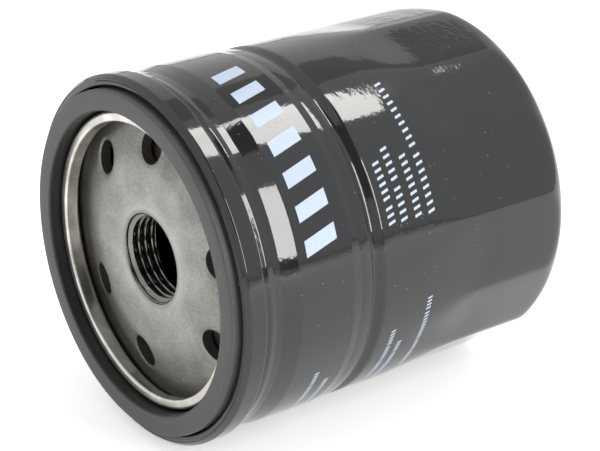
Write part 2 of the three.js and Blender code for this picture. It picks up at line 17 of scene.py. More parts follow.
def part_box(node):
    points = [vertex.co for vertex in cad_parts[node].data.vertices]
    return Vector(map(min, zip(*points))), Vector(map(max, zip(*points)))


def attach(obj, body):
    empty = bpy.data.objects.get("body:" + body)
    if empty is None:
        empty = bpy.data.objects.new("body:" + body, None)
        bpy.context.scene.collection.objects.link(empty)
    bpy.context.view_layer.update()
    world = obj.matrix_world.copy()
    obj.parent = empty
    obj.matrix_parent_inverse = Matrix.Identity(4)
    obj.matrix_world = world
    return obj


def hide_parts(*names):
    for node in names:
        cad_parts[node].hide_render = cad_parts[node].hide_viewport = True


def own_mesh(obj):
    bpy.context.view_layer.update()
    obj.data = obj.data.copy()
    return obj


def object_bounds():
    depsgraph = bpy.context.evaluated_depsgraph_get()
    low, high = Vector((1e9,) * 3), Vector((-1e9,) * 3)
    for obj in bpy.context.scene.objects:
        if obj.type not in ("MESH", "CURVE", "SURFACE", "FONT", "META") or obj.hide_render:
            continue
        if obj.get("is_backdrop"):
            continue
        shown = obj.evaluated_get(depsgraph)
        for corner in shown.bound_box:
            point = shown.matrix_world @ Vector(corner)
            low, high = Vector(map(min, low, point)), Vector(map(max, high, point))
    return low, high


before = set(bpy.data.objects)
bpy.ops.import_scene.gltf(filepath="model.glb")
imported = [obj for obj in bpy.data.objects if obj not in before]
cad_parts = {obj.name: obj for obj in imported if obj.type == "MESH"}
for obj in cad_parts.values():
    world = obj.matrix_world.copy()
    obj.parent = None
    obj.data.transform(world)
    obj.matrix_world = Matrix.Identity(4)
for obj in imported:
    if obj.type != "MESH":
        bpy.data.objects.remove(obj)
cad_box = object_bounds()
MM = 0.001

# %% [markdown]
# ## Sizes
# The filter's axis is Y, so each piece is read as a radius and two places along Y. Everything
# is worked out in millimetres, and turned to metres only when a mesh is made.

# %% Read the sizes of the pieces


def place(piece):
    """(outer radius, front, back) of a CAD node in millimetres, from its box."""
    low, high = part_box(piece)
    return max(high.x, high.z) / MM, low.y / MM, high.y / MM


can_r, can_front, can_end = place("canister")
seam_r, seam_front, channel_back = place("seaming_lid")
gasket_r, gasket_face, gasket_back = place("sealing_gasket")
plate_r, plate_front, spigot_end = place("base_plate")
print(f"can: radius {can_r:.2f}, from {can_front:.2f} to {can_end:.2f} mm")
print(f"lid: radius {seam_r:.2f}, from {seam_front:.2f} to {channel_back:.2f} mm")
print(f"gasket: radius {gasket_r:.2f}, from {gasket_face:.2f} to {gasket_back:.2f} mm")
print(f"plate: radius {plate_r:.2f}, from {plate_front:.2f} to {spigot_end:.2f} mm")

# %% [markdown]
# ## The camera
# The camera looks down at the filter's open end from its right, through a long lens, so the
# can tapers only a little. Three turns aim it: round Z, then down, then a slight roll.

# %% Make the camera
CAMERA_AT = Vector((343.34, -212.43, 192.31)) * MM
CAMERA_AZIMUTH, CAMERA_TILT, CAMERA_ROLL = 53.388, 24.493, 0.379  # degrees
CAMERA_LENS = 132.63

camera_data = bpy.data.cameras.new("camera")
camera_data.lens = CAMERA_LENS
camera_data.clip_start = 0.01
camera = bpy.data.objects.new("camera", camera_data)
bpy.context.scene.collection.objects.link(camera)
turn = Matrix.Rotation(math.radians(CAMERA_AZIMUTH), 4, "Z")
tip = Matrix.Rotation(math.radians(90 - CAMERA_TILT), 4, "X")
roll = Matrix.Rotation(math.radians(CAMERA_ROLL), 4, "Z")
camera.matrix_world = Matrix.Translation(CAMERA_AT) @ turn @ tip @ roll
bpy.context.scene.camera = camera
print("camera at", [round(v, 3) for v in CAMERA_AT])

# %% [markdown]
# ## Surfaces as grids of points
# Every round piece here is a profile turned about the Y axis. It could be a curve with a screw
# modifier, but a plain array of points lets one formula bend the whole surface afterwards, as
# the wrench flats and the thread need. A profile is a list of (radius, y) corners.

# %% Round the corners of a profile


def rounded(corners, radius, steps=6):
    """Path with every inner corner swapped for an arc that touches both its sides.

    The arc takes radius / tan(half the corner's angle) of each side, and no more than 0.4 of
    it. A curve of second degree through the corner stands for the arc. One more point just
    outside each end of the arc keeps the shading of the long sides flat.
    """
    corners = np.asarray(corners, float)
    radii = np.broadcast_to(radius, len(corners))
    path = [corners[:1]]
    t = np.linspace(0, 1, steps + 1)[:, None]
    for before, here, after, size in zip(corners, corners[1:], corners[2:], radii[1:]):
        back, on = before - here, after - here
        reach = 0.4 * min(np.linalg.norm(back), np.linalg.norm(on))
        back, on = back / np.linalg.norm(back), on / np.linalg.norm(on)
        half = math.acos(np.clip(back @ on, -1, 1)) / 2
        trim = min(size / math.tan(half), reach) if half < 1.57 else reach
        start, end = here + back * trim, here + on * trim
        outer = 0.2 * trim
        arc = (1 - t) ** 2 * start + 2 * t * (1 - t) * here + t**2 * end
        path += [[start + back * outer], arc, [end + on * outer]]
    path.append(corners[-1:])
    return np.concatenate(path)


def spaced(path, step):
    """The same path with extra points, so that neighbours are at most one step apart."""
    lengths = np.linalg.norm(np.diff(path, axis=0), axis=1)
    counts = np.maximum(np.ceil(lengths / step).astype(int), 1)
    at = np.concatenate([[0], np.cumsum(lengths)])
    places = [np.linspace(a, b, n, endpoint=False) for a, b, n in zip(at, at[1:], counts)]
    wanted = np.append(np.concatenate(places), at[-1])
    return np.stack([np.interp(wanted, at, path[:, k]) for k in (0, 1)], axis=1)


def offset(path, distance):
    """The path moved sideways by a distance: each point moves along the mean of its two
    segments' normals, by the distance over the cosine of half the bend."""
    along = np.diff(path, axis=0)
    along /= np.linalg.norm(along, axis=1)[:, None]
    normals = np.stack([-along[:, 1], along[:, 0]], axis=1)
    first, second = np.vstack([normals[:1], normals]), np.vstack([normals, normals[-1:]])
    mean = first + second
    mean /= np.linalg.norm(mean, axis=1)[:, None]
    return path + mean * (distance / np.maximum(np.sum(mean * second, axis=1), 0.5))[:, None]


def sheet(path, thickness):
    """Closed profile of a sheet: the path moved half a thickness to each side."""
    return np.vstack([offset(path, thickness / 2), offset(path, -thickness / 2)[::-1]])


print("a square corner rounds to", len(rounded([(0, 0), (1, 0), (1, 1)], 0.2)), "points")

# %% Turn a profile about the axis


def turned(profile, columns):
    """Points of a surface of revolution, as (rows, columns, [radius, angle, y]).

    Row i holds profile point i at every angle, and the angle runs from +X towards +Z.
    """
    angle = np.linspace(0, 2 * np.pi, columns, endpoint=False)
    rows = np.empty((len(profile), columns, 3))
    rows[..., 0], rows[..., 1], rows[..., 2] = profile[:, :1], angle, profile[:, 1:]
    return rows


def to_xyz(polar):
    """(radius, angle, y) to (x, y, z): x and z are the radius times cosine and sine."""
    r, angle, y = np.moveaxis(polar, -1, 0)
    return np.stack([r * np.cos(angle), y, r * np.sin(angle)], axis=-1)


def quads(rows, columns, wrap_rows):
    """Corner numbers of the faces of a grid whose columns close on themselves."""
    last = rows if wrap_rows else rows - 1
    i, j = np.meshgrid(np.arange(last), np.arange(columns), indexing="ij")
    up, on = (i + 1) % rows, (j + 1) % columns
    corners = [i * columns + j, i * columns + on, up * columns + on, up * columns + j]
    return np.stack(corners, axis=-1).reshape(-1, 4)


def make_piece(name, points, faces, crease=32):
    """Object from points in millimetres and faces.

    Points that meet, as at a pole, are merged. A negative volume turns all faces round.
    """
    mesh = bpy.data.meshes.new(name)
    mesh.from_pydata((np.asarray(points) * MM).tolist(), [], np.asarray(faces).tolist())
    build = bmesh.new()
    build.from_mesh(mesh)
    bmesh.ops.remove_doubles(build, verts=build.verts, dist=1e-7)
    if build.calc_volume(signed=True) < 0:
        bmesh.ops.reverse_faces(build, faces=build.faces)
    build.to_mesh(mesh)
    build.free()
    mesh.shade_smooth()
    mesh.set_sharp_from_angle(angle=math.radians(crease))
    piece = bpy.data.objects.new(name, mesh)
    bpy.context.scene.collection.objects.link(piece)
    print(f"{name}: {len(mesh.vertices)} points, {len(mesh.polygons)} faces")
    return piece


def revolved(name, polar, crease=32):
    """Object of a turned profile. A profile that starts on the axis also ends on it."""
    rows, columns = polar.shape[:2]
    faces = quads(rows, columns, wrap_rows=polar[0, 0, 0] > 0)
    return make_piece(name, to_xyz(polar).reshape(-1, 3), faces, crease)


def finish_piece(piece, material, body, slot, *nodes):
    """Gives a piece its material and its body, and hides the CAD nodes it stands for."""
    piece.data.materials.append(material)
    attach(piece, body)
    if nodes:
        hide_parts(*nodes)


print("a ring of 4 corners and 6 columns has", len(quads(4, 6, True)), "faces")

# %% [markdown]
# ## Shader maths
# A small class wraps a socket, so that an expression such as `1 - mask * 0.5` adds the Math
# nodes by itself. Its method `node` makes any other node from its type, its settings and the
# values or links of its sockets.

# %% Write node maths as expressions


class Value:
    """A socket's value. Each operator adds the Math node of the same name."""

    def __init__(self, tree, socket=None):
        self.tree, self.socket = tree, socket

    def node(self, kind, settings=None, sockets=(), output=0):
        """Adds a node: its settings first, then its sockets by name or place."""
        made = self.tree.nodes.new(kind)
        for key, value in (settings or {}).items():
            if key == "stops":
                elements = made.color_ramp.elements
                while len(elements) < len(value):
                    elements.new(0.5)
                for element, (at, grey) in zip(elements, value):
                    element.position, element.color = at, (grey, grey, grey, 1)
            else:
                setattr(made, key, value)
        pairs = sockets.items() if isinstance(sockets, dict) else enumerate(sockets)
        for key, value in pairs:
            if isinstance(value, Value):
                self.tree.links.new(value.socket, made.inputs[key])
            else:
                made.inputs[key].default_value = value
        return Value(self.tree, made.outputs[output] if made.outputs else None)

    def math(self, operation, *others):
        """Adds a Math node, with this value as its first input."""
        return self.node("ShaderNodeMath", {"operation": operation}, [self, *others])

    def __add__(self, other):
        return self.math("ADD", other)

    def __mul__(self, other):
        return self.math("MULTIPLY", other)

    def __sub__(self, other):
        return self.math("SUBTRACT", other)

    def __rsub__(self, other):
        return self.math("MULTIPLY", -1.0) + other

    __radd__, __rmul__ = __add__, __mul__


def start_material(name):
    """A new empty material, and the point on the piece as the first value of its tree."""
    material = bpy.data.materials.new(name)
    material.use_nodes = True
    material.node_tree.nodes.clear()
    return material, Value(material.node_tree).node("ShaderNodeTexCoord", output="Object")


def end_material(here, sockets, height, depth_mm):
    """Closes a material with a Principled shader and a bump of the given depth."""
    bump = {"Strength": 1.0, "Distance": depth_mm * MM, "Height": height}
    normal = here.node("ShaderNodeBump", None, bump)
    shader = here.node("ShaderNodeBsdfPrincipled", None, {**sockets, "Normal": normal})
    here.node("ShaderNodeOutputMaterial", None, {"Surface": shader})


# %% Patterns that several finishes share


def noise(here, size_mm, detail=2.0, stretch=(1, 1, 1)):
    """Soft noise from 0 to 1 with blobs of about the given size."""
    moved = here.node("ShaderNodeMapping", None, {"Vector": here, "Scale": stretch})
    sockets = {"Vector": moved, "Scale": 1 / (size_mm * MM), "Detail": detail}
    return here.node("ShaderNodeTexNoise", None, sockets)


def ramp(value, *stops):
    """The value passed through a ramp of (place, grey) stops."""
    return value.node("ShaderNodeValToRGB", {"stops": stops}, {"Fac": value})


def mixed(mask, first, second):
    """A colour that goes from first to second as the mask goes from 0 to 1."""
    sockets = {"Factor": mask, 6: first, 7: second}
    return mask.node("ShaderNodeMix", {"data_type": "RGBA"}, sockets, 2)


def specks(here, cell_mm, radius, share):
    """Mask of sparse round specks: one in some cells, where the cell's random grey is high."""
    sockets = {"Vector": here, "Scale": 1 / (cell_mm * MM)}
    distance = here.node("ShaderNodeTexVoronoi", None, sockets, "Distance")
    colour = here.node("ShaderNodeTexVoronoi", None, sockets, "Color")
    grey = here.node("ShaderNodeSeparateColor", None, {"Color": colour})
    return distance.math("LESS_THAN", radius) * grey.math("GREATER_THAN", 1 - share)


def axis_radius(here):
    """Distance from the Y axis, in metres: the root of x squared plus z squared."""
    x, z = (here.node("ShaderNodeSeparateXYZ", None, {"Vector": here}, k) for k in ("X", "Z"))
    return (x * x + z * z).math("SQRT")


# %% [markdown]
# ## Finishes
# The enamel is nearly black and glossy. Its surface isn't flat: sprayed enamel dries with
# ripples about a millimetre across, which fray the edges of every reflection. Fine dust lies
# on it. Those ripples are only microns high, so a bump holds them.

# %% Black enamel
ENAMEL = (0.0140, 0.0144, 0.0158, 1)
DUST = (0.42, 0.41, 0.40, 1)


def enamel_look(here):
    """Colour, roughness and height of the enamel."""
    dust = specks(here, 2.0, 0.05, 0.18) + specks(here, 0.9, 0.08, 0.07)
    haze = noise(here, 9.0, 3.0)
    colour = mixed(dust * 0.7, ENAMEL, DUST)
    ripples = noise(here, 0.7, 1.0) * 0.6 + noise(here, 1.6, 1.0) + noise(here, 5.0, 1.0) * 1.2
    return colour, haze * 0.05 + dust * 0.4 + 0.045, ripples


def enamel_material():
    """The enamel over a whole piece."""
    material, here = start_material("can_paint")
    colour, rough, ripples = enamel_look(here)
    end_material(here, {"Base Color": colour, "Roughness": rough}, ripples, 0.014)
    return material


enamel = enamel_material()
print("enamel has", len(enamel.node_tree.nodes), "nodes")

# %% [markdown]
# The lid is one sheet of tinplate. The enamel is sprayed on after seaming, with the lid's
# middle masked, so the outside of the seam is black and the lip inside the gasket is bright.
# One shader holds both, with the distance from the axis as its mask.

# %% Tinplate, painted outside the gasket
PAINT_EDGE_R = 31.6 * MM
TINPLATE = (0.70, 0.685, 0.65, 1)
TINPLATE_DULL = (0.42, 0.40, 0.365, 1)


def lid_material():
    """Enamel outside the paint's edge, and bare tinplate with stains and scratches inside."""
    material, here = start_material("lid_tinplate")
    colour, rough, ripples = enamel_look(here)
    painted = axis_radius(here).math("GREATER_THAN", PAINT_EDGE_R)
    stain = ramp(noise(here, 5.0, 4.0), (0.35, 0.0), (0.72, 1.0))
    scratches = noise(here, 0.25, 2.0, (1, 0.15, 1))
    bare = 1 - painted
    sockets = {
        "Base Color": mixed(painted, mixed(stain, TINPLATE, TINPLATE_DULL), colour),
        "Metallic": bare,
        "Roughness": painted * rough + bare * (scratches * 0.2 + 0.22),
    }
    end_material(here, sockets, painted * ripples + bare * scratches * 0.3, 0.011)
    return material


tinplate = lid_material()
print("tinplate has", len(tinplate.node_tree.nodes), "nodes")

# %% [markdown]
# The base plate is thick mild steel with a warm grey, slightly blotchy skin. Its grain is
# fine, with darker pits, and it reflects softly. Its colour also holds painted light: a bright
# halo round the bore and shade over the cone. The cut thread is smooth and dark with oil, and
# deep in the bore it is painted near-black as shade. The distance from the axis tells them apart.

# %% Plate steel
PLATE_LIGHT = (0.42, 0.415, 0.40, 1)
PLATE_DARK = (0.105, 0.10, 0.085, 1)
OILED_THREAD = (0.20, 0.195, 0.18, 1)
# Painted shade: near-black for the bore beyond the thread's end.
DEEP_BORE_SHADE = (0.008, 0.008, 0.007, 1)
PALE_FLECK = (0.8, 0.8, 0.78, 1)
THREAD_END = 12.6  # mm from the gasket's face
RADIUS_RANGE = 40  # mm, the radius that the ramps' places are parts of


def plate_material():
    """Blotchy steel, oiled in the bore; painted bright round the bore, painted shade on the cone
    and deep in the bore.
    """
    material, here = start_material("plate_steel")
    blotch = ramp(noise(here, 7.0, 5.0), (0.30, 0.0), (0.75, 1.0))
    grain = noise(here, 0.45, 4.0)
    pits = ramp(noise(here, 0.9, 3.0), (0.26, 1.0), (0.34, 0.0))
    flecks = specks(here, 3.1, 0.05, 0.12)
    radius = axis_radius(here) * (1 / (RADIUS_RANGE * MM))
    # Painted light: by radius the plate is painted brighter round the bore as a highlight and
    # darker over the cone as shade.
    halo_and_shade_stops = ((10.2, 1.0), (14.0, 0.45), (19.5, 0.30), (24, 0.0))  # (radius in mm, grey)
    painted_halo_and_shade = ramp(radius, *((r / RADIUS_RANGE, grey) for r, grey in halo_and_shade_stops))
    oiled = ramp(radius, (10.0 / RADIUS_RANGE, 1.0), (10.8 / RADIUS_RANGE, 0.0))
    dirt_and_painted_light = blotch * 0.28 + grain * 0.62 + pits * 0.3 + 0.20 - painted_halo_and_shade * 0.42
    depth = here.node("ShaderNodeSeparateXYZ", None, {"Vector": here}, "Y")
    # Painted shade: the bore is painted near-black deeper than the thread's end.
    bore_shade_mask = oiled * depth.math("GREATER_THAN", (THREAD_END - 0.4) * MM)
    base = mixed(oiled, mixed(dirt_and_painted_light, PLATE_LIGHT, PLATE_DARK), OILED_THREAD)
    base = mixed(bore_shade_mask, base, DEEP_BORE_SHADE)
    sockets = {
        "Base Color": mixed(flecks * 0.8, base, PALE_FLECK),
        "Metallic": 1 - flecks * 0.8,
        "Roughness": blotch * 0.10 + grain * 0.16 + 0.34 - oiled * 0.22,
    }
    end_material(here, sockets, (grain - pits * 0.6) * (1 - oiled * 0.8), 0.022)
    return material


plate_steel = plate_material()
print("plate steel has", len(plate_steel.node_tree.nodes), "nodes")

# %% [markdown]
# The gasket is moulded nitrile rubber: dark grey, dull, with a bloom that shows lighter where
# light grazes it, and dust that clings to it. The valve inside is a brown-black rubber.

# %% Rubber
# Painted shade: the near-black of the gasket's inner wall.
INNER_WALL_SHADE = (0.010, 0.010, 0.011, 1)
NITRILE_DARK, NITRILE_LIGHT = (0.022, 0.022, 0.023, 1), (0.072, 0.072, 0.075, 1)
VALVE_DARK, VALVE_LIGHT = (0.022, 0.014, 0.011, 1), (0.04, 0.03, 0.02, 1)
SHADE_EDGE_R = 32.1  # mm; inside this radius the gasket's inner wall is painted near-black as shade


def rubber_material(name, dark, light, rough, shade_r=0.0):
    """Dull rubber between two colours, with a fine grain, and painted near-black as shade inside
    a radius when one is given.
    """
    material, here = start_material(name)
    bloom = noise(here, 6.0, 4.0)
    grain = noise(here, 0.22, 3.0)
    dust = specks(here, 1.7, 0.06, 0.08)
    base = mixed(bloom * 0.6 + grain * 0.3, dark, light)
    if shade_r:
        # Painted shade: inside the radius the rubber is painted near-black.
        inner_shade_mask = axis_radius(here).math("LESS_THAN", shade_r * MM)
        base = mixed(inner_shade_mask, base, INNER_WALL_SHADE)
    sockets = {
        "Base Color": mixed(dust * 0.8, base, DUST),
        "Roughness": bloom * 0.12 + grain * 0.10 + rough,
    }
    end_material(here, sockets, grain + bloom * 0.8, 0.025)
    return material


gasket_rubber = rubber_material("gasket_rubber", NITRILE_DARK, NITRILE_LIGHT, 0.40, SHADE_EDGE_R)
valve_rubber = rubber_material("valve_rubber", VALVE_DARK, VALVE_LIGHT, 0.45)
print("gasket rubber has", len(gasket_rubber.node_tree.nodes), "nodes")

# %% [markdown]
# The print is a thin layer of pale ink. It is less glossy than the enamel under it, and its
# cover is slightly uneven.

# %% Ink
INK_DARK, INK_LIGHT = (0.345, 0.415, 0.53, 1), (0.415, 0.49, 0.60, 1)


def ink_material():
    """Pale ink whose cover is uneven over about a millimetre."""
    material, here = start_material("print_ink")
    cover = noise(here, 0.8, 3.0)
    sockets = {
        "Base Color": mixed(cover, INK_DARK, INK_LIGHT),
        "Roughness": cover * 0.15 + 0.36,
    }
    end_material(here, sockets, cover + noise(here, 1.1, 1.0), 0.006)
    return material


ink = ink_material()
print("ink has", len(ink.node_tree.nodes), "nodes")

# %% [markdown]
# ## The can
# The can is deep drawn from one disc. Behind the seam it has a neck and a shoulder, then a
# rolled crease and a groove, and its last part is pressed into 14 flats for a wrench. Each
# flat starts as an arc and widens, because the press goes deeper towards the dome. The two
# walls are the same function with the radius changed by the sheet's thickness.

# %% Sizes of the can
CAN_WALL = 0.5
DOME_BODY_R = can_r - 0.28
NECK_R = can_r - 0.65
CREASE_Y = 30.0
GROOVE_Y, GROOVE_DEPTH = 33.7, 0.85
GROOVE_START, GROOVE_STOP = 32.4, 36.4
GROOVE_POWER = 0.9  # under 1 makes the groove's bottom broader
FLATS, RIDGE_AT = 14, math.pi / 2
FLATS_START, FLATS_FULL, FLAT_R = 46.0, 64.0, 36.77
FLAT_CLEAR = 0.05  # gap between the round can and a flat that isn't pressed yet
FLAT_SOFT = 0.20  # how broadly the edge between a flat and the round can is blended
DOME_CORNER = 8.0
DOME_ROUND_R = FLAT_R - 6  # the flats fade out on the dome inside this radius
PANEL_R, PANEL_DEPTH = 22.6, 1.2
print(f"each of the {FLATS} flats is {2 * FLAT_R * math.tan(math.pi / FLATS):.1f} mm wide")

# %% Press the flats


def flattened(radius, angle, y, wall=0.0):
    """Radius after the flats: the smaller of the round radius and the flat's distance over
    the cosine of the angle from its middle, with the edge between them blended by
    -s log(exp(-a/s) + exp(-b/s)). The flat's distance shrinks smoothly from start to full."""
    step = 2 * np.pi / FLATS
    off = np.mod(angle - RIDGE_AT, step) - step / 2
    press = np.clip((y - FLATS_START) / (FLATS_FULL - FLATS_START), 0, 1)
    press = press * press * (3 - 2 * press)
    unpressed = DOME_BODY_R + FLAT_CLEAR
    flat = (unpressed + (FLAT_R - unpressed) * press - wall) / np.cos(off)
    soft = FLAT_SOFT * np.clip((y - FLATS_START) / 4, 1e-3, 1)
    lower, gap = np.minimum(radius, flat), np.abs(radius - flat)
    return lower - soft * np.log1p(np.exp(-gap / soft))


pressed_by = DOME_BODY_R - flattened(DOME_BODY_R, RIDGE_AT + math.pi / FLATS, FLATS_FULL)
print(f"a flat's middle is pressed in by {pressed_by:.2f} mm")

# %% Draw the outline


def can_outline():
    """Outside of the can from its front edge to the middle of the dome.

    The groove is a cosine dip with its own length on each side of its lowest place. The
    dome's corner is a quarter circle, and a shallow flat panel closes the middle.
    """
    front = rounded(
        [
            (can_r - 0.25, can_front),
            (can_r - 0.25, 6.1),
            (NECK_R, 7.2),
            (NECK_R + 0.24, 8.3),
            (NECK_R, 9.6),
            (NECK_R, 11.2),
            (can_r, 15.3),
            (can_r, CREASE_Y - 1.9),
            (DOME_BODY_R, CREASE_Y),
            (DOME_BODY_R, GROOVE_START),
        ],
        [0, 0.5, 0.5, 1.5, 1.5, 2.0, 2.5, 0.6, 0.5, 0],
    )
    y = np.linspace(GROOVE_START, GROOVE_STOP, 31)[1:-1]
    half = np.where(y < GROOVE_Y, GROOVE_Y - GROOVE_START, GROOVE_STOP - GROOVE_Y)
    dip = (1 + np.cos(np.pi * (y - GROOVE_Y) / half)) / 2
    groove = np.stack([DOME_BODY_R - GROOVE_DEPTH * dip**GROOVE_POWER, y], axis=1)
    corner = np.linspace(0, np.pi / 2, 15)[:, None]
    centre = (DOME_BODY_R - DOME_CORNER, can_end - DOME_CORNER)
    straight = np.stack([np.full(33, DOME_BODY_R), np.linspace(GROOVE_STOP, centre[1], 33)], 1)
    dome = np.array(centre) + DOME_CORNER * np.hstack([np.cos(corner), np.sin(corner)])
    panel = rounded(
        [dome[-1], (PANEL_R + 0.6, can_end), (PANEL_R - 0.6, can_end - PANEL_DEPTH),
         (2.0, can_end - PANEL_DEPTH), (0.0, can_end - PANEL_DEPTH)],
        [0, 0.6, 0.6, 0, 0],
    )
    return np.vstack([front, groove, straight, dome[1:], panel[1:]])


outline = can_outline()
print("the outline has", len(outline), "points")

# %% Turn the can


def can_surface(profile, columns, wall):
    """The turned outline with the flats pressed in."""
    polar = turned(profile, columns)
    r, angle, y = np.moveaxis(polar, -1, 0)
    pressed = flattened(r, angle, y, wall)
    polar[..., 0] = np.where((y > FLATS_START) & (r > DOME_ROUND_R), pressed, r)
    return polar


def can_piece(columns=24 * FLATS):
    """The outer wall from the dome to the front edge, and back along the inner wall, which
    holds every second row."""
    inside = offset(outline, CAN_WALL)
    if inside[0, 0] > outline[0, 0]:
        inside = offset(outline, -CAN_WALL)
    inside = np.vstack([inside[:-1:2], inside[-1:]])
    inside[-1, 0] = 0.0
    inside[:, 0] = np.maximum(inside[:, 0], 0.0)
    outer = can_surface(outline, columns, 0.0)
    inner = can_surface(inside, columns, CAN_WALL)
    return revolved("can", np.concatenate([outer[::-1], inner]))


can = can_piece()
finish_piece(can, enamel, "housing", "can_paint", "canister")

# %% [markdown]
# ## The lid
# The lid is one pressed sheet. Its edge is rolled over the can's edge into the seam, then it
# dips into the gasket's channel, rises to a rolled lip and ends in a short flange. Its middle
# line is given corner by corner, every corner is rounded, and the sheet's two sides follow.
# The flange is spot welded to the plate, which leaves it with slight steps round the turn.

# %% Shape the lid
LID_SHEET = 0.5
LIP_R, LIP_MIDDLE_R = 31.0, 29.3
LIP_Y, FLANGE_Y = 2.75, 5.0
CHANNEL_R = 36.7
HEM_Y = 6.35  # where the sheet's rolled end stops behind the seam
FLANGE_STEPS = np.radians([-168, -148, -101])
FLANGE_STEP = 0.14


def lid_piece(columns=360):
    """The turned sheet. At each step round the flange the radius grows by twice the step's
    height over about three degrees, as the tanh of the angle does."""
    wall = seam_r - LID_SHEET / 2
    nose = seam_front + LID_SHEET / 2
    floor = channel_back - LID_SHEET / 2
    middle = rounded(
        [
            (wall - 0.55, HEM_Y),
            (wall - 0.05, HEM_Y),
            (wall, 5.9),
            (wall, nose + 0.75),
            (wall - 0.65, nose),
            (wall - 0.95, nose + 0.13),
            (wall - 1.25, nose),
            (CHANNEL_R, nose),
            (CHANNEL_R, floor),
            (LIP_R, floor),
            (LIP_R, LIP_Y),
            (LIP_MIDDLE_R, LIP_Y),
            (LIP_MIDDLE_R, FLANGE_Y),
        ],
        [0, 0.2, 0.2, 0.5, 0.2, 0.12, 0.2, 0.35, 0.5, 0.5, 0.5, 0.32, 0],
    )
    polar = turned(sheet(middle, LID_SHEET), columns)
    r, angle, y = np.moveaxis(polar, -1, 0)
    turned_in = np.clip((y - LIP_Y - 0.5) / 0.8, 0, 1) * (r < LIP_MIDDLE_R + 0.4)
    edges = [np.tanh(np.sin(angle - at) * 40) * (np.cos(angle - at) > 0) for at in FLANGE_STEPS]
    polar[..., 0] += turned_in * FLANGE_STEP * sum(edges)
    return revolved("lid", polar)


lid = lid_piece()
finish_piece(lid, tinplate, "housing", "lid_tinplate", "seaming_lid")

# %% [markdown]
# ## The gasket
# The gasket is a square ring, moulded, so its edges are slightly round and its face is a
# little crowned. It stands proud of the seam, because it seals on the engine's face.

# %% Shape the gasket
GASKET_INNER_R = 31.7
GASKET_EDGE = 0.55
GASKET_CROWN = 0.08


def gasket_piece(columns=360):
    """Ring whose face drops by the crown times the squared distance from its middle."""
    corners = [
        (gasket_r - 2, gasket_back),
        (gasket_r, gasket_back),
        (gasket_r, gasket_face),
        (GASKET_INNER_R, gasket_face),
        (GASKET_INNER_R, gasket_back),
        (gasket_r - 2.01, gasket_back),
    ]
    profile = spaced(rounded(corners, GASKET_EDGE), 0.6)[:-1]
    middle, half = (gasket_r + GASKET_INNER_R) / 2, (gasket_r - GASKET_INNER_R) / 2
    front = profile[:, 1] < (gasket_face + gasket_back) / 2
    profile[:, 1] += front * GASKET_CROWN * ((profile[:, 0] - middle) / half) ** 2
    return revolved("gasket", turned(profile, columns))


gasket = gasket_piece()
finish_piece(gasket, gasket_rubber, "housing", "gasket_rubber", "sealing_gasket")

# %% [markdown]
# ## The base plate
# The plate is punched and drawn: the flat middle is pulled in round the thread, the cone
# slopes back to a rim, and six holes are punched through the cone. The bore holds a real
# helix. At each point of the bore the radius depends on how far round the turn it is.

# %% Sizes of the plate
MAJOR_R, MINOR_R, PITCH = 9.53, 8.65, 1.5875
SPIGOT_R = 11.4
FLAT_MIDDLE_R, CONE_END_R = 19.5, 28.5
CONE_DROP = 2.4
PLATE_THICK = 2.6
HOLE_R, HOLE_CIRCLE_R = 3.5, 24.0
HOLES = np.radians([middle + side for middle in (115, -5, -125) for side in (-23, 23)])
MOUTH_R = 1.15
THREAD_START = 5.3
ROLL_DEPTH, ROLL_BAND = 0.3, 0.9
print(f"thread {2 * MAJOR_R:.2f} mm across, {25.4 / PITCH:.0f} turns to the inch")

# %% Cut the thread


def thread(angle, y):
    """Bore radius: the major radius less the tooth's height.

    The tooth is flat for a quarter of the pitch at its crest, and its flanks fall at sixty
    degrees. It grows from nothing at the mouth and runs out before the neck's end.
    """
    turns = y / PITCH - angle / (2 * np.pi)
    from_crest = np.abs(np.mod(turns, 1.0) - 0.5) * PITCH
    depth = MAJOR_R - MINOR_R
    rise = depth / math.tan(math.radians(60))
    tooth = np.clip((PITCH / 8 + rise - from_crest) / rise, 0, 1)
    grown = np.clip((y - THREAD_START) / 0.7, 0, 1) * np.clip((THREAD_END - y) / 0.6, 0, 1)
    return MAJOR_R - depth * tooth * grown


crest = thread(np.linspace(0, 2 * np.pi, 64), (THREAD_START + THREAD_END) / 2).min()
print(f"the thread's crests are {2 * crest:.2f} mm across")

# %% Turn the plate


def plate_polar(columns=288):
    """Grid of the whole plate, and how many of its rows are the front face.

    The profile runs from the bore's mouth over the front, round the rim, back to the spigot
    and down the bore, in steps of a sixteenth of the thread's pitch.
    """
    back = plate_front + PLATE_THICK
    rim_front = plate_front + CONE_DROP
    front = rounded(
        [(MAJOR_R, THREAD_START), (MAJOR_R + 0.1, plate_front + 0.2), (14.2, plate_front),
         (FLAT_MIDDLE_R, plate_front), (CONE_END_R, rim_front), (plate_r, rim_front)],
        [0, MOUTH_R, 40.0, 24.0, 6.0, 0], steps=8,
    )
    rim_back = rim_front + PLATE_THICK
    rest = rounded(
        [(plate_r, rim_front), (plate_r, rim_back), (CONE_END_R, rim_back), (FLAT_MIDDLE_R, back),
         (SPIGOT_R, back), (SPIGOT_R, spigot_end), (MAJOR_R, spigot_end)],
        [0, 0.3, 1.2, 2.0, 0.8, 0.3, 0],
    )
    bore_y = np.arange(spigot_end - 0.05, THREAD_START, -PITCH / 16)
    bore = np.stack([np.full(len(bore_y), MAJOR_R), bore_y], axis=1)
    front = spaced(front, 0.5)
    polar = turned(np.vstack([front, spaced(rest, 1.5)[1:], bore]), columns)
    inside = slice(len(polar) - len(bore), None)
    polar[inside, :, 0] = thread(polar[inside, :, 1], polar[inside, :, 2])
    return polar, len(front)


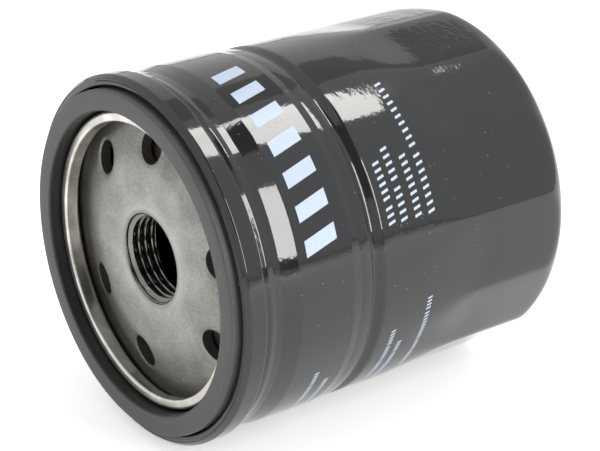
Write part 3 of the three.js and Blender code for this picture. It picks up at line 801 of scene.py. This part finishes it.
def with_rolled_holes(polar, front_rows):
    """Bends the front face in round each hole, as a punch does: the drop is the roll's depth
    times the square of how far a point has come through the band round the hole's edge."""
    face = to_xyz(polar[:front_rows])
    for at in HOLES:
        x, z = HOLE_CIRCLE_R * np.cos(at), HOLE_CIRCLE_R * np.sin(at)
        away = np.hypot(face[..., 0] - x, face[..., 2] - z)
        near = np.clip(1 - (away - HOLE_R) / ROLL_BAND, 0, 1.3)
        polar[:front_rows, :, 2] += ROLL_DEPTH * near**2
    return polar


plate = revolved("plate", with_rolled_holes(*plate_polar()))

# %% Punch the holes


def hole_cutter(at):
    """A closed rod through the plate at one hole's place."""
    front, back = 3.0, 12.0
    rod = turned(np.array([(0, front), (HOLE_R, front), (HOLE_R, back), (0, back)]), 72)
    points = to_xyz(rod) + [HOLE_CIRCLE_R * np.cos(at), 0, HOLE_CIRCLE_R * np.sin(at)]
    return make_piece("cutter", points.reshape(-1, 3), quads(4, 72, False))


def cut(piece, cutter):
    """Takes the cutter's volume from the piece, and removes the cutter."""
    modifier = piece.modifiers.new("cut", "BOOLEAN")
    modifier.operation, modifier.solver, modifier.object = "DIFFERENCE", "EXACT", cutter
    shape = piece.evaluated_get(bpy.context.evaluated_depsgraph_get())
    mesh = bpy.data.meshes.new_from_object(shape)
    piece.modifiers.clear()
    piece.data = mesh
    bpy.data.objects.remove(cutter)


for at in HOLES:
    cut(plate, hole_cutter(at))
plate.data.set_sharp_from_angle(angle=math.radians(32))
finish_piece(plate, plate_steel, "housing", "plate_steel", "base_plate")
print("plate after its holes:", len(plate.data.polygons), "faces")

# %% [markdown]
# ## The print
# The print is plain marks in pale ink: a band of seven large slanted bars, four rows of small
# ticks behind the groove, and finer rows low on the side. Each mark is a thin closed patch
# that follows the can, so it bends and catches light as ink does.

# %% Patches of ink on the can
INK_THICK, INK_SUNK = 0.02, 0.05
SIDE_END = 79  # the outline's side stops here, before the dome
SLANT = 0.28


def can_radius(angle, y):
    """The can's outside radius at an angle and a place along it."""
    side = outline[: np.argmax(outline[:, 1] > SIDE_END)]
    r = np.interp(y, side[:, 1], side[:, 0])
    return np.where(y > FLATS_START, flattened(r, angle, y), r)


def marks(places, width, height, cells=(5, 9)):
    """Points and faces of closed patches at (angle in degrees, y) places.

    A patch is a grid over its width and height, once on the ink's face and once, in reverse
    order, just below the can's face, so that the two together make a closed loop. Slant moves
    each row round the can by its height times the slant.
    """
    u, v = (np.linspace(-0.5, 0.5, n) for n in cells)
    across = np.concatenate([u, u[::-1]]) * width
    lift = np.repeat([INK_THICK, -INK_SUNK], cells[0])
    along, across = np.meshgrid(v * height, across, indexing="ij")
    places = np.asarray(places, float)
    y = places[:, 1, None, None] + along
    angle = np.radians(places[:, 0, None, None]) + (across + SLANT * along) / can_r
    r = can_radius(angle, y) + lift
    points = to_xyz(np.stack([r, angle, y], axis=-1)).reshape(-1, 3)
    loop, rows = 2 * cells[0], cells[1]
    i = np.arange(cells[0] - 1)
    cap = np.stack([i, i + 1, loop - 2 - i, loop - 1 - i], axis=1)
    patch = np.vstack([quads(rows, loop, False), cap[:, ::-1], cap + (rows - 1) * loop])
    first = np.arange(len(places))[:, None, None] * rows * loop
    return points, (patch[None] + first).reshape(-1, 4)


print(f"at the bars the can is {2 * can_radius(0.0, 21.2):.2f} mm across")

# %% Lay the marks


def row_of(y, start, counts, pitch, space=1.4):
    """Places of a row of ticks from an angle upwards: groups of some ticks with spaces."""
    steps = np.concatenate([[pitch] * (n - 1) + [pitch * space] for n in counts])
    return [(start + turn, y) for turn in np.concatenate([[0], np.cumsum(steps)[:-1]])]


def print_piece():
    """All marks in one piece. A row is given by its y, its first tick's angle in degrees, the
    numbers of ticks in its groups and the angle between two ticks."""
    bars = [(20.5 + 10.4 * k, 21.2) for k in range(7)]
    rows = (row_of(38.8, 19.0, (3, 6), 2.2) + row_of(41.9, 19.0, (5, 5), 2.35)
            + row_of(45.5, 19.0, (9,), 2.3) + row_of(48.9, 19.0, (8, 10), 2.5))
    low = (row_of(21.8, -53.0, (6, 9, 5), 1.35) + row_of(25.3, -47.0, (7, 5), 1.35)
           + row_of(39.9, -44.0, (9, 5, 5), 1.35) + row_of(42.6, -49.0, (5, 9, 4), 1.35)
           + row_of(48.0, -42.0, (7, 4, 9, 4), 1.35))
    groups = [marks(bars, 3.3, 7.6), marks(rows, 0.58, 1.7, (3, 5)), marks(low, 0.4, 1.1, (3, 3))]
    starts = np.cumsum([0] + [len(points) for points, _ in groups])
    faces = [f + n for (_, f), n in zip(groups, starts)]
    return make_piece("print", np.vstack([p for p, _ in groups]), np.vstack(faces))


printed = print_piece()
finish_piece(printed, ink, "housing", "can_paint")

# %% [markdown]
# ## Inside the can
# The inner pieces keep their CAD meshes, and each gets its own finish: bright zinc on the
# pressings, drawn wire on the springs, a fibrous paper, and a soft plastisol.

# %% Finishes of the inner pieces
ZINC_LIGHT, ZINC_DARK = (0.74, 0.75, 0.77, 1), (0.50, 0.51, 0.54, 1)
WIRE_LIGHT, WIRE_DARK = (0.52, 0.50, 0.48, 1), (0.30, 0.29, 0.28, 1)
PAPER_LIGHT, PAPER_DARK = (0.78, 0.62, 0.36, 1), (0.58, 0.42, 0.20, 1)
PLASTISOL_LIGHT, PLASTISOL_DARK = (0.28, 0.085, 0.05, 1), (0.20, 0.055, 0.035, 1)


def zinc_material(name, light, dark, rough, grain_mm):
    """Plated or drawn steel: a blotchy grey with a fine grain."""
    material, here = start_material(name)
    blotch = ramp(noise(here, 6.0, 4.0), (0.3, 0.0), (0.7, 1.0))
    grain = noise(here, grain_mm, 3.0)
    sockets = {
        "Base Color": mixed(blotch * 0.5 + grain * 0.3, light, dark),
        "Metallic": 1.0,
        "Roughness": blotch * 0.12 + grain * 0.1 + rough,
    }
    end_material(here, sockets, grain, 0.01)
    return material


def paper_material():
    """Resin-set paper: fibres in two directions, and rows of small dimples."""
    material, here = start_material("filter_paper")
    fibres = noise(here, 0.3, 4.0, (1, 0.2, 1)) + noise(here, 0.3, 4.0, (0.3, 1, 0.3))
    pattern = {"Vector": here, "Scale": 900.0}
    dimples = here.node("ShaderNodeTexVoronoi", None, pattern, "Distance")
    sockets = {
        "Base Color": mixed(fibres * 0.5, PAPER_LIGHT, PAPER_DARK),
        "Roughness": fibres * 0.1 + 0.75,
    }
    end_material(here, sockets, fibres + dimples * 0.4, 0.03)
    return material


def plastisol_material():
    """Cast plastisol: soft, dull red-brown, with slow waves."""
    material, here = start_material("end_plastisol")
    waves = noise(here, 2.5, 2.0)
    sockets = {
        "Base Color": mixed(waves, PLASTISOL_DARK, PLASTISOL_LIGHT),
        "Roughness": waves * 0.15 + 0.35,
    }
    end_material(here, sockets, waves + noise(here, 0.4, 2.0) * 0.2, 0.05)
    return material


FINISHES = {
    "cap_steel": zinc_material("cap_steel", ZINC_LIGHT, ZINC_DARK, 0.26, 0.4),
    "spring_steel": zinc_material("spring_steel", WIRE_LIGHT, WIRE_DARK, 0.28, 0.15),
    "filter_paper": paper_material(),
    "end_plastisol": plastisol_material(),
    "valve_rubber": valve_rubber,
}
print(len(FINISHES), "finishes for the inner pieces")

# %% [markdown]
# ## Springs
# Three coil springs work inside: a light one on the drain-back valve, one in the bypass cage
# and a stout one behind the element. Each is a round wire carried along a helix, whose pitch
# eases to nothing at both ends, as on a spring with closed ends. Each hangs from the body
# that carries it.

# %% Wind the springs
WIRE_SIDES = 12
TURN_STEPS = 40
EASE = 0.55  # share of the pitch that the ends give up to start level


def spring_piece(name, start_r, end_r, wire_r, turns, body):
    """Wire of a round section on a helix. The radius changes evenly, and the place along Y is
    the turn's share less a sine wave, so that it starts and stops level.

    Each ring of the wire lies across its path: the outward direction less its part along the
    path, and the cross product of the two.
    """
    low, high = (v.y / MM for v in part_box(name))
    t = np.linspace(0, 1, int(turns * TURN_STEPS) + 1)
    turn = 2 * np.pi * turns * t
    share = t - EASE * np.sin(2 * np.pi * t) / (2 * np.pi)
    y = low + wire_r + (high - low - 2 * wire_r) * share
    radius = start_r + (end_r - start_r) * t
    middle = np.stack([radius * np.cos(turn), y, radius * np.sin(turn)], axis=1)
    out = np.stack([np.cos(turn), np.zeros(len(t)), np.sin(turn)], axis=1)
    along = np.gradient(middle, axis=0)
    along /= np.linalg.norm(along, axis=1)[:, None]
    out -= along * np.sum(out * along, axis=1)[:, None]
    out /= np.linalg.norm(out, axis=1)[:, None]
    side = np.cross(along, out)
    around = np.linspace(0, 2 * np.pi, WIRE_SIDES, endpoint=False)[None, :, None]
    section = np.cos(around) * out[:, None] + np.sin(around) * side[:, None]
    rings = middle[:, None] + wire_r * section
    ends = np.repeat(middle[[0, -1]][:, None], WIRE_SIDES, axis=1)
    rings = np.concatenate([ends[:1], rings, ends[1:]])
    faces = quads(len(rings), WIRE_SIDES, False)
    piece = make_piece(name + "_wound", rings.reshape(-1, 3), faces, crease=50)
    finish_piece(piece, FINISHES["spring_steel"], body, "spring_steel", name)
    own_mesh(piece)


spring_piece(
    "drain_back_spring", 13.35, 16.35, 0.4, 2.5, "drain_back"
)
spring_piece("bypass_spring", 5.8, 5.8, 0.5, 4, "element")
spring_piece("element_spring", 14.5, 17.5, 0.8, 3, "housing")

# %% Give every inner piece its finish
INNER_SLOTS = {
    "valve_rubber": ("drain_back_valve", "element_grommet", "bypass_seal"),
    "cap_steel": ("drain_back_washer", "mount_end_cap", "dome_end_cap", "centre_tube",
                  "media_clip", "bypass_seat", "bypass_disc", "bypass_pin", "bypass_cage",
                  "spring_locator"),
    "filter_paper": ("filter_media",),
    "end_plastisol": ("mount_end_potting", "dome_end_potting"),
}
for slot_name, names in INNER_SLOTS.items():
    for name in names:
        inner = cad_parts[name]
        inner.data.materials.clear()
        inner.data.materials.append(FINISHES[slot_name])
print(sum(len(names) for names in INNER_SLOTS.values()), "inner pieces finished")

# %% [markdown]
# ## Floor and light
# The filter lies on a plain white table that glows softly, under an even white sky. A gloss
# black can shows its form only through what it reflects, so the room matters: one soft panel
# hangs above and behind, a long one stands to the side, dark cards border them, and the sky
# darkens at the horizon.

# %% Lay the floor
FLOOR_Z = -seam_r * MM
TABLE_GLOW = 0.45


def floor_material():
    """White table that also glows a little, so that its far parts stay white."""
    material, here = start_material("floor")
    grain = noise(here, 3.0, 2.0)
    colour = mixed(grain, (0.86, 0.86, 0.86, 1), (0.88, 0.88, 0.88, 1))
    sockets = {
        "Base Color": colour,
        "Roughness": grain * 0.1 + 0.8,
        "Emission Color": (1.0, 1.0, 1.0, 1),
        "Emission Strength": TABLE_GLOW,
    }
    end_material(here, sockets, grain, 0.01)
    return material


def flat_piece(name, width, height, order, placed, material):
    """Rectangle on the stage: its corners lie round its middle, and its placement moves them."""
    mesh = bpy.data.meshes.new(name)
    x, y = width / 2, height / 2
    mesh.from_pydata([(-x, -y, 0), (x, -y, 0), (x, y, 0), (-x, y, 0)], [], [order])
    mesh.transform(placed)
    piece = bpy.data.objects.new(name, mesh)
    bpy.context.scene.collection.objects.link(piece)
    mesh.materials.append(material)
    piece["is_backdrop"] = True


under = Matrix.Translation((0, 0, FLOOR_Z))
flat_piece("floor", 6.0, 6.0, (0, 1, 2, 3), under, floor_material())
print(f"table top at {FLOOR_Z / MM:.2f} mm")

# %% Colour the sky
SKY = 1.05
# A direction's height from -1 to 1 is halved and raised by half, and gives a grey.
HORIZON = ((0.497, 0.45), (0.503, 0.60), (0.52, 0.95), (0.60, 1.0))


def sky(strength):
    """White sky that darkens at the horizon, from a ramp over the height of the direction."""
    world = bpy.data.worlds.new("sky")
    world.use_nodes = True
    world.node_tree.nodes.clear()
    towards = Value(world.node_tree).node("ShaderNodeTexCoord", output="Generated")
    height = towards.node("ShaderNodeSeparateXYZ", None, {"Vector": towards}, "Z")
    grey = ramp(height * 0.5 + 0.5, *HORIZON)
    back = grey.node("ShaderNodeBackground", None, {"Color": grey, "Strength": strength})
    back.node("ShaderNodeOutputWorld", None, {"Surface": back})
    bpy.context.scene.world = world


sky(SKY)
print("sky has", len(bpy.context.scene.world.node_tree.nodes), "nodes")

# %% Panels and cards
WARM_WHITE = (1, 0.985, 0.955)


def facing_can(towards, distance, turn=0.0):
    """Placement at a distance from the can's middle whose Z axis points away from the can."""
    towards = Vector(towards).normalized()
    middle = Vector((0, can_end / 2, 0)) * MM
    facing = towards.to_track_quat("Z", "Y").to_matrix().to_4x4()
    spin = Matrix.Rotation(math.radians(turn), 4, "Z")
    return Matrix.Translation(middle + towards * distance) @ facing @ spin


def panel(name, towards, width, height, radiance, turn=0.0):
    """Rectangular area light, a metre away. Its power is radiance times area times pi."""
    data = bpy.data.lights.new(name, "AREA")
    data.shape, data.size, data.size_y = "RECTANGLE", width, height
    data.energy, data.color = radiance * width * height * math.pi, WARM_WHITE
    light = bpy.data.objects.new(name, data)
    bpy.context.scene.collection.objects.link(light)
    light.matrix_world = facing_can(towards, 1.0, turn)
    light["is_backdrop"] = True


def card(name, towards, width, height, grey=0.002, distance=1.05):
    """Dark card beside or behind a panel, which gives its reflection a dark border."""
    material, here = start_material(name)
    felt = noise(here, 5.0, 2.0)
    black = mixed(felt, (grey,) * 3 + (1,), (grey * 1.2,) * 3 + (1,))
    end_material(here, {"Base Color": black, "Roughness": felt * 0.1 + 0.85}, felt, 0.01)
    flat_piece(name, width, height, (0, 3, 2, 1), facing_can(towards, distance), material)


# %% Place the lights
panel("window_high", (0.05, 0.42, 0.90), 0.32, 0.38, 13.0, turn=18)
panel("window_side", (0.863, 0.19, 0.468), 0.20, 0.75, 14.0)
card("card_high", (-0.40, 0.50, 0.76), 0.26, 0.50, grey=0.30, distance=1.15)
card("card_front", (0.60, -0.27, 0.74), 0.70, 0.95, grey=0.006, distance=1.15)
card("card_between", (0.20, 0.18, 0.96), 0.82, 0.24, distance=0.97)
card("card_low", (0.98, 0.19, 0.07), 0.22, 0.10)
bpy.context.scene.view_settings.view_transform = "Standard"
print("view transform:", bpy.context.scene.view_settings.view_transform)

# %% [markdown]
# ## The size
# The sizes of the CAD model's box and of the visual model's box are printed, in millimetres.
# The visual model has to stay inside the CAD model's box.

# %% Print both boxes
boxes = {"cad": [list(v) for v in cad_box], "visual": [list(v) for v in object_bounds()]}
for name, (low, high) in boxes.items():
    print(name, [round((b - a) / MM, 2) for a, b in zip(low, high)], "mm")
